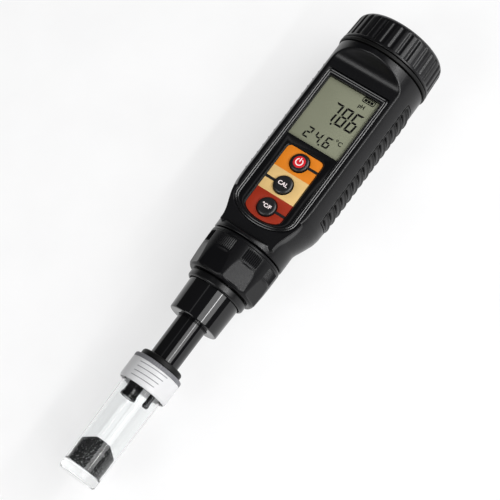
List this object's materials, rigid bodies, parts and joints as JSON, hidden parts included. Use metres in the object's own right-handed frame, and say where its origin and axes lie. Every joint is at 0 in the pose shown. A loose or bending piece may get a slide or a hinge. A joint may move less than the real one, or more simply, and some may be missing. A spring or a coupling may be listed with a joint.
{
  "type": "ph meter",
  "caption": "Pen-type pH and temperature tester with a display, keys, a screw-on battery cap, a detachable electrode and a clear storage vial.",
  "frame": {"origin": "middle of the tester's outline on the surface it lies on, under the long axis", "axes": "+Y along the tester towards the battery cap, +Z out of the display, +X to the display's right"},
  "size_m": [0.0354, 0.185, 0.0355],
  "materials": {
    "housing_plastic": "satin black moulding",
    "grip_rubber": "matte moulded rubber",
    "lens_plastic": "glossy tinted window",
    "lcd": "grey-green reflective display glass",
    "light_plastic": "off-white moulding",
    "board": "green solder mask",
    "dark_plastic": "black moulding",
    "steel": "bright nickel plate",
    "keypad_film": "printed film in an orange, a cream and a red-brown band",
    "gold": "gold-plated contact",
    "seal_rubber": "matte black rubber",
    "cap_plastic": "satin black moulding",
    "red_key": "red key",
    "black_key": "black key",
    "electrode_plastic": "glossy black",
    "bulb_glass": "clear glass",
    "ceramic": "porous white ceramic",
    "clear_plastic": "clear moulded plastic",
    "foam": "open-cell black foam"
  },
  "bodies": {
    "housing": {"main_housing": "housing_plastic", "grip_left": "grip_rubber", "grip_right": "grip_rubber", "display_lens": "lens_plastic", "lcd_glass": "lcd", "lcd_frame": "light_plastic", "circuit_board": "board", "processor_chip": "dark_plastic", "power_switch": "steel", "cal_switch": "steel", "unit_switch": "steel", "keypad_overlay": "keypad_film", "battery_holder": "dark_plastic", "battery_contact": "gold", "button_cell_1": "steel", "button_cell_2": "steel", "button_cell_3": "steel", "electrode_socket": "light_plastic"},
    "cap_seal": {"cap_seal": "seal_rubber"},
    "battery_cap": {"battery_cap": "cap_plastic", "cap_contact": "gold"},
    "power_button": {"power_button": "red_key"},
    "cal_button": {"cal_button": "black_key"},
    "unit_button": {"unit_button": "black_key"},
    "electrode": {"electrode_barrel": "electrode_plastic", "barrel_ring": "electrode_plastic", "electrode_plug": "dark_plastic", "plug_o_ring": "seal_rubber", "contact_pin_1": "gold", "contact_pin_2": "gold", "contact_pin_3": "gold", "electrode_shaft": "electrode_plastic", "electrode_guard": "electrode_plastic", "glass_electrode": "bulb_glass", "reference_junction": "ceramic", "temperature_sensor": "steel"},
    "collar": {"collar_nut": "housing_plastic"},
    "vial_cap": {"rubber_stopper": "seal_rubber", "vial_screw_ring": "clear_plastic"},
    "vial_gasket": {"vial_gasket": "light_plastic"},
    "vial": {"storage_vial": "clear_plastic", "sponge": "foam"}
  },
  "joints": [
    {"name": "cap_lift", "type": "slide", "parent": "housing", "child": "cap_seal", "axis": [0, 1, 0], "range_m": [0, 0.009]},
    {"name": "cap_turn", "type": "hinge", "parent": "cap_seal", "child": "battery_cap", "pos_m": [0, 0.079, 0.0178], "axis": [0, 1, 0], "range_deg": [0, 1080]},
    {"name": "power_press", "type": "slide", "parent": "housing", "child": "power_button", "axis": [0, 0, -1], "range_m": [0, 0.0005], "stiffness_N_per_m": 1500},
    {"name": "cal_press", "type": "slide", "parent": "housing", "child": "cal_button", "axis": [0, 0, -1], "range_m": [0, 0.0005], "stiffness_N_per_m": 1500},
    {"name": "unit_press", "type": "slide", "parent": "housing", "child": "unit_button", "axis": [0, 0, -1], "range_m": [0, 0.0005], "stiffness_N_per_m": 1500},
    {"name": "electrode_out", "type": "slide", "parent": "housing", "child": "electrode", "axis": [0, -1, 0], "range_m": [0, 0.008]},
    {"name": "collar_turn", "type": "hinge", "parent": "electrode", "child": "collar", "pos_m": [0, 0.0015, 0.0178], "axis": [0, -1, 0], "range_deg": [0, 1440]},
    {"name": "vial_pull", "type": "slide", "parent": "electrode", "child": "vial_cap", "axis": [0, -1, 0], "range_m": [0, 0.045]},
    {"name": "vial_drop", "type": "slide", "parent": "vial_cap", "child": "vial_gasket", "axis": [0, -1, 0], "range_m": [0, 0.008]},
    {"name": "vial_turn", "type": "hinge", "parent": "vial_gasket", "child": "vial", "pos_m": [0, -0.0505, 0.0178], "axis": [0, -1, 0], "range_deg": [0, 1440]}
  ],
  "couplings": [
    {"joint": "cap_turn", "follows": "cap_lift", "rad_per_m": 2094.4},
    {"joint": "collar_turn", "follows": "electrode_out", "rad_per_m": 3141.6},
    {"joint": "vial_turn", "follows": "vial_drop", "rad_per_m": 3141.6}
  ]
}
